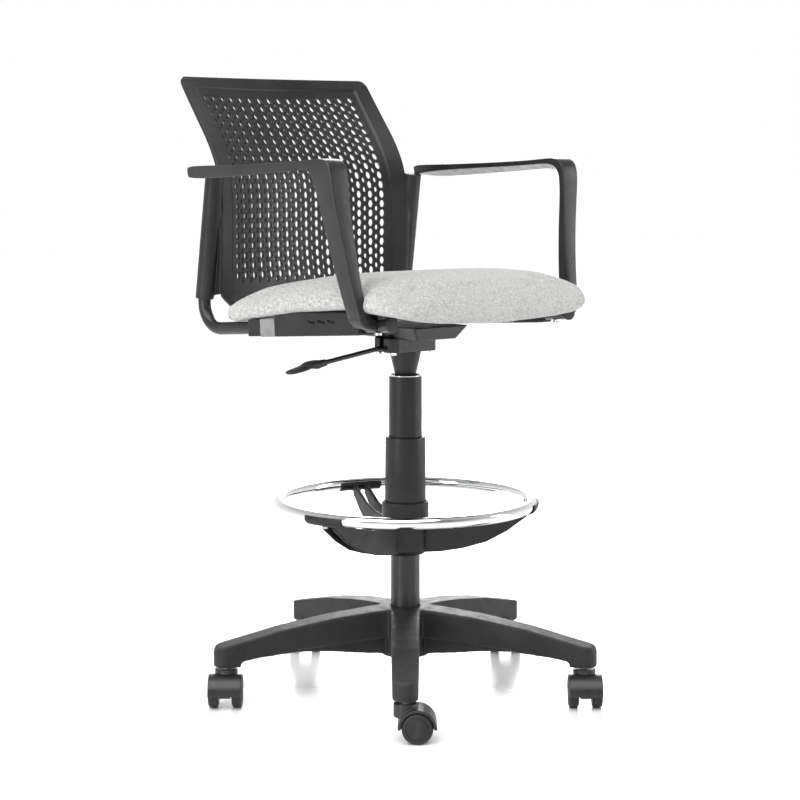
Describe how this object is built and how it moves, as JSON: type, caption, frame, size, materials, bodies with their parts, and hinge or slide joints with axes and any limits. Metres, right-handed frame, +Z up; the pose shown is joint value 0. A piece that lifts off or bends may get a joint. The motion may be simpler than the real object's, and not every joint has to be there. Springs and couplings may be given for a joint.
{
  "type": "drafting chair",
  "caption": "Tall swivel drafting chair with gas lift, chrome foot ring, loop armrests, perforated back, upholstered seat and a wheeled star base.",
  "frame": {"origin": "on the floor, under the axis of the column", "axes": "+Z up along the column, -Y the way the sitter faces, -X the sitter's right"},
  "size_m": [0.7068, 0.7215, 1.054],
  "materials": {
    "nylon_base": "textured black glass-filled nylon",
    "painted_tube": "satin black powder coat",
    "bush_plastic": "natural acetal",
    "zinc_steel": "zinc-plated steel",
    "polished_steel": "ground and polished steel",
    "cover_plastic": "satin black polypropylene",
    "buffer_rubber": "black rubber",
    "black_plastic": "fine-grained black polypropylene",
    "grey_plastic": "grey moulded plastic",
    "plywood": "bare plywood",
    "seat_fabric": "light grey melange woven wool-look fabric",
    "back_plastic": "fine-grained black polypropylene, perforated",
    "arm_plastic": "textured black polyamide",
    "hub_plastic": "black glass-filled nylon",
    "chrome_ring": "bright chrome plating",
    "caster_plastic": "textured black nylon",
    "wheel_plastic": "dark charcoal nylon tread"
  },
  "bodies": {
    "base": {"star_base": "nylon_base", "column_tube": "painted_tube", "guide_bush": "bush_plastic", "caster_stems": "zinc_steel", "thrust_bearing": "zinc_steel", "cover_lower": "cover_plastic"},
    "rod": {"piston_rod": "polished_steel", "rod_clip": "zinc_steel", "bump_stop": "buffer_rubber"},
    "lift": {"gas_cylinder": "painted_tube", "mechanism_box": "painted_tube", "seat_plate": "painted_tube", "plate_bolts": "zinc_steel", "frame_tube_right": "painted_tube", "frame_tube_left": "painted_tube", "tube_plugs": "black_plastic", "tube_saddles": "black_plastic", "tube_collars": "grey_plastic", "seat_board": "plywood", "seat_shell": "black_plastic", "seat_cushion": "seat_fabric", "shell_screws": "zinc_steel", "backrest": "back_plastic", "sleeve_right": "black_plastic", "sleeve_left": "black_plastic", "armrest_right": "arm_plastic", "armrest_left": "arm_plastic", "arm_bolts": "zinc_steel", "cover_upper": "cover_plastic", "lever_pivot": "zinc_steel"},
    "middle": {"cover_middle": "cover_plastic", "cover_snap_ring": "polished_steel"},
    "lever": {"lever_rod": "painted_tube", "lever_handle": "black_plastic"},
    "pin": {"release_pin": "zinc_steel"},
    "footring": {"footring_hub": "hub_plastic", "foot_ring": "chrome_ring", "ring_screws": "zinc_steel"},
    "caster_1": {"hood_1": "caster_plastic", "axle_1": "zinc_steel"},
    "wheel_a_1": {"wheel_a_1": "wheel_plastic"},
    "wheel_b_1": {"wheel_b_1": "wheel_plastic"},
    "caster_2": {"hood_2": "caster_plastic", "axle_2": "zinc_steel"},
    "wheel_a_2": {"wheel_a_2": "wheel_plastic"},
    "wheel_b_2": {"wheel_b_2": "wheel_plastic"},
    "caster_3": {"hood_3": "caster_plastic", "axle_3": "zinc_steel"},
    "wheel_a_3": {"wheel_a_3": "wheel_plastic"},
    "wheel_b_3": {"wheel_b_3": "wheel_plastic"},
    "caster_4": {"hood_4": "caster_plastic", "axle_4": "zinc_steel"},
    "wheel_a_4": {"wheel_a_4": "wheel_plastic"},
    "wheel_b_4": {"wheel_b_4": "wheel_plastic"},
    "caster_5": {"hood_5": "caster_plastic", "axle_5": "zinc_steel"},
    "wheel_a_5": {"wheel_a_5": "wheel_plastic"},
    "wheel_b_5": {"wheel_b_5": "wheel_plastic"}
  },
  "joints": [
    {"name": "seat_swivel", "type": "hinge", "parent": "base", "child": "rod", "pos_m": [0, 0, 0.07], "axis": [0, 0, 1], "continuous": true},
    {"name": "seat_lift", "type": "slide", "parent": "rod", "child": "lift", "axis": [0, 0, 1], "range_m": [-0.13, 0.07]},
    {"name": "middle_cover_slide", "type": "slide", "parent": "rod", "child": "middle", "axis": [0, 0, 1], "range_m": [-0.098, 0.053]},
    {"name": "height_lever", "type": "hinge", "parent": "lift", "child": "lever", "pos_m": [-0.018, 0, 0.6005], "axis": [0, 1, 0], "range_deg": [0, 6], "stiffness_Nm_per_rad": 6, "springref_deg": -2.29},
    {"name": "release_pin_slide", "type": "slide", "parent": "lift", "child": "pin", "axis": [0, 0, 1], "range_m": [-0.003, 0]},
    {"name": "foot_ring_slide", "type": "slide", "parent": "base", "child": "footring", "axis": [0, 0, 1], "range_m": [-0.08, 0]},
    {"name": "caster_swivel_1", "type": "hinge", "parent": "base", "child": "caster_1", "pos_m": [-0.20312, -0.24207, 0.05], "axis": [0, 0, 1], "continuous": true},
    {"name": "wheel_a_1_spin", "type": "hinge", "parent": "caster_1", "child": "wheel_a_1", "pos_m": [-0.18857, -0.25428, 0.025], "axis": [0.6428, 0.766, 0], "continuous": true},
    {"name": "wheel_b_1_spin", "type": "hinge", "parent": "caster_1", "child": "wheel_b_1", "pos_m": [-0.18857, -0.25428, 0.025], "axis": [0.6428, 0.766, 0], "continuous": true},
    {"name": "caster_swivel_2", "type": "hinge", "parent": "base", "child": "caster_2", "pos_m": [0.16745, -0.26798, 0.05], "axis": [0, 0, 1], "continuous": true},
    {"name": "wheel_a_2_spin", "type": "hinge", "parent": "caster_2", "child": "wheel_a_2", "pos_m": [0.15524, -0.28254, 0.025], "axis": [0.766, -0.6428, 0], "continuous": true},
    {"name": "wheel_b_2_spin", "type": "hinge", "parent": "caster_2", "child": "wheel_b_2", "pos_m": [0.15524, -0.28254, 0.025], "axis": [0.766, -0.6428, 0], "continuous": true},
    {"name": "caster_swivel_3", "type": "hinge", "parent": "base", "child": "caster_3", "pos_m": [0.30661, 0.07645, 0.05], "axis": [0, 0, 1], "continuous": true},
    {"name": "wheel_a_3_spin", "type": "hinge", "parent": "caster_3", "child": "wheel_a_3", "pos_m": [0.31883, 0.091, 0.025], "axis": [-0.766, 0.6428, 0], "continuous": true},
    {"name": "wheel_b_3_spin", "type": "hinge", "parent": "caster_3", "child": "wheel_b_3", "pos_m": [0.31883, 0.091, 0.025], "axis": [-0.766, 0.6428, 0], "continuous": true},
    {"name": "caster_swivel_4", "type": "hinge", "parent": "base", "child": "caster_4", "pos_m": [0.02204, 0.31523, 0.05], "axis": [0, 0, 1], "continuous": true},
    {"name": "wheel_a_4_spin", "type": "hinge", "parent": "caster_4", "child": "wheel_a_4", "pos_m": [0.03426, 0.32978, 0.025], "axis": [-0.766, 0.6428, 0], "continuous": true},
    {"name": "wheel_b_4_spin", "type": "hinge", "parent": "caster_4", "child": "wheel_b_4", "pos_m": [0.03426, 0.32978, 0.025], "axis": [-0.766, 0.6428, 0], "continuous": true},
    {"name": "caster_swivel_5", "type": "hinge", "parent": "base", "child": "caster_5", "pos_m": [-0.29299, 0.11838, 0.05], "axis": [0, 0, 1], "continuous": true},
    {"name": "wheel_a_5_spin", "type": "hinge", "parent": "caster_5", "child": "wheel_a_5", "pos_m": [-0.3052, 0.10382, 0.025], "axis": [0.766, -0.6428, 0], "continuous": true},
    {"name": "wheel_b_5_spin", "type": "hinge", "parent": "caster_5", "child": "wheel_b_5", "pos_m": [-0.3052, 0.10382, 0.025], "axis": [0.766, -0.6428, 0], "continuous": true}
  ],
  "couplings": [
    {"joint": "middle_cover_slide", "follows": "seat_lift", "ratio": 0.75},
    {"joint": "release_pin_slide", "follows": "height_lever", "m_per_rad": -0.018}
  ]
}
